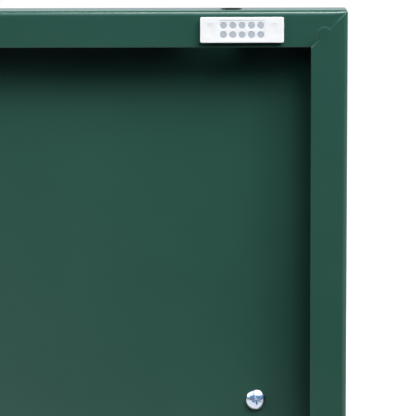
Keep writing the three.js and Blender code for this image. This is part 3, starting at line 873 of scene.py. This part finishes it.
def floor_material():
    """Pale floor, seen white. It throws little light back on the object."""
    material = bpy.data.materials.new("pale_floor")
    material.use_nodes = True
    tree = material.node_tree
    tree.nodes.clear()
    out = tree.nodes.new("ShaderNodeOutputMaterial")
    seen = both(tree, glow(tree, FLOOR_SEEN), diffuse(tree, FLOOR_SEEN_GREY))
    mirrored = glow(tree, floor_mirrored(tree))
    shade = by_ray(tree, seen, mirrored, diffuse(tree, FLOOR_THROWN_GREY))
    tree.links.new(shade, out.inputs["Surface"])
    return material


def floor():
    bm = bmesh.new()
    bmesh.ops.create_grid(bm, x_segments=2, y_segments=2, size=FLOOR_REACH)
    obj = new_object("floor", bm)
    obj.location = (0, 0, cad_low.z - FLOOR_DROP)
    obj.data.materials.append(floor_material())


# ---- world ----

WORLD_SEEN = 1.05
WORLD_SCATTERED = 0.005
WORLD_WHITE = (0.93, 0.98, 1)
WORLD_SIDE_BLUE = (0.3, 0.6, 1)


def low_behind(tree, across, out_of_wall, up):
    """White behind the wall's plane, dimmer near the horizon. Its upper edge is lower on the right."""
    lean = ramp(tree, node_math(tree, "ADD", across, 0.5),
                (0, 0), (0.478, 0), (0.535, 0.5), (1, 0.5))
    edge = ramp(tree, node_math(tree, "ADD", up, lean), (0, 1), (0.76, 1), (0.86, 0.02), (1, 0.02))
    level = ramp(tree, up, (0, 0.57), (0.18, 0.57), (0.24, 1.7), (1, 1.7))
    behind = ramp(tree, node_math(tree, "ADD", out_of_wall, 0.1), (0, 0), (0.35, 1), (1, 1))
    return node_math(tree, "MULTIPLY", node_math(tree, "MULTIPLY", edge, level), behind)


def high_front(tree, across, out_of_wall, up):
    """A white band high up in front, with a dim gap a little to the left."""
    forward = node_math(tree, "MULTIPLY", out_of_wall, -1)
    band = node_math(
        tree, "MULTIPLY",
        ramp(tree, up, (0, 0), (0.4, 0), (0.52, 1.6), (0.86, 1.6), (0.93, 0), (1, 0)),
        ramp(tree, forward, (0, 0), (0.2, 1), (1, 1)))
    slant = node_math(tree, "DIVIDE", across, node_math(tree, "MAXIMUM", forward, 0.05))
    from_gap = node_math(tree, "ABSOLUTE", node_math(tree, "ADD", slant, 0.42))
    gap = ramp(tree, from_gap, (0, 0.3), (0.08, 0.3), (0.22, 1), (1, 1))
    return node_math(tree, "MULTIPLY", band, gap)


def low_sides(tree, across, out_of_wall, up):
    """A dim room all round, weaker high up and towards the back."""
    sideways = ramp(tree, node_math(tree, "ABSOLUTE", across),
                    (0, 0.45), (0.25, 0.45), (0.6, 0.5), (1, 0.5))
    low_down = ramp(tree, up, (0, 1), (0.42, 1), (0.6, 0.1), (1, 0.1))
    in_front = ramp(tree, node_math(tree, "ADD", out_of_wall, 0.4),
                    (0, 1), (0.5, 1), (0.9, 0.25), (1, 0.25))
    return node_math(tree, "MULTIPLY", sideways, node_math(tree, "MULTIPLY", low_down, in_front))


def world():
    """White where the camera sees it. Mirrored, it is a dark studio: white low down behind and
    high up in front, dim blue elsewhere.
    """
    made = bpy.data.worlds.new("studio")
    bpy.context.scene.world = made
    made.use_nodes = True
    tree = made.node_tree
    tree.nodes.clear()
    out = tree.nodes.new("ShaderNodeOutputWorld")
    place = tree.nodes.new("ShaderNodeTexCoord")
    direction = split_axes(tree, place.outputs["Generated"])
    bright = node_math(tree, "ADD", low_behind(tree, *direction), high_front(tree, *direction))
    mirrored = both(tree, glow(tree, bright, WORLD_WHITE),
                    glow(tree, low_sides(tree, *direction), WORLD_SIDE_BLUE))
    shade = by_ray(tree, glow(tree, WORLD_SEEN), mirrored, glow(tree, WORLD_SCATTERED))
    tree.links.new(shade, out.inputs["Surface"])


# ---- lights and camera ----

def door_corner():
    """The door's upper free corner, in the plane of its flanges."""
    low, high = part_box("door_panel")
    return Vector((high.x, low.y, high.z))


def bearing(azimuth, elevation, distance):
    """An offset in degrees right of straight out from the wall, degrees up, and metres."""
    turn = math.radians(azimuth)
    up = math.radians(elevation)
    flat = distance * math.cos(up)
    return Vector((flat * math.sin(turn), -flat * math.cos(turn), distance * math.sin(up)))


def softbox(name, place, target, width, height, power):
    light = bpy.data.lights.new(name, "AREA")
    light.shape = "RECTANGLE"
    light.size = width
    light.size_y = height
    light.energy = power
    obj = bpy.data.objects.new(name, light)
    obj.location = place
    aim = (target - place).to_track_quat("-Z", "Y")
    obj.rotation_euler = aim.to_euler()
    bpy.context.scene.collection.objects.link(obj)


# name, azimuth, elevation, distance, width, height and power
FRONT_LIGHTS = (
    ("key", 44, 54, 2.4, 1.4, 1.15, 73),
    ("right", 66, 42, 2.4, 0.6, 0.8, 27),
    ("top", 9, 66, 2.4, 0.5, 0.8, 16),
    ("left", -68, 25, 1.8, 0.8, 0.6, 13.5),
)
# name and offset from the object's middle
BACK_LIGHTS = (
    ("back_left", (-1.7, 1.4, 0.9)),
    ("back_right", (1.9, 1.3, 0.8)),
)
BACK_LIGHT_WIDTH = 1.2
BACK_LIGHT_HEIGHT = 1.0
BACK_LIGHT_POWER = 26
AIM_FROM_CORNER = (-0.12, 0, -0.15)


def lights():
    target = door_corner() + Vector(AIM_FROM_CORNER)
    for name, azimuth, elevation, distance, width, height, power in FRONT_LIGHTS:
        place = target + bearing(azimuth, elevation, distance)
        softbox(name, place, target, width, height, power)
    centre = (cad_low + cad_high) / 2
    for name, offset in BACK_LIGHTS:
        softbox(name, centre + Vector(offset), centre, BACK_LIGHT_WIDTH, BACK_LIGHT_HEIGHT,
                BACK_LIGHT_POWER)


LENS = 279.6
SENSOR_WIDTH = 36
FAR_LIMIT = 100
CAMERA_FROM_CORNER = (-0.0682, -1.5204, 0.1585)
CAMERA_DOWN = math.radians(9.446)
CAMERA_YAW = math.radians(-0.067)
CAMERA_ROLL = math.radians(-0.122)


def camera():
    """Long lens, a little above the door's top and looking slightly down."""
    data = bpy.data.cameras.new("camera")
    data.sensor_width = SENSOR_WIDTH
    data.lens = LENS
    data.clip_end = FAR_LIMIT
    obj = bpy.data.objects.new("camera", data)
    bpy.context.scene.collection.objects.link(obj)
    place = door_corner() + Vector(CAMERA_FROM_CORNER)
    pitch = Matrix.Rotation(math.pi / 2 - CAMERA_DOWN, 4, "X")
    turn = Matrix.Rotation(CAMERA_YAW, 4, "Z") @ pitch
    obj.matrix_world = Matrix.Translation(place) @ turn @ Matrix.Rotation(CAMERA_ROLL, 4, "Z")
    bpy.context.scene.camera = obj


bpy.context.scene.view_settings.view_transform = "Standard"
camera()
door_pan()
catch()
knob_screw()
knob()
dress_kept_nodes()
floor()
world()
lights()
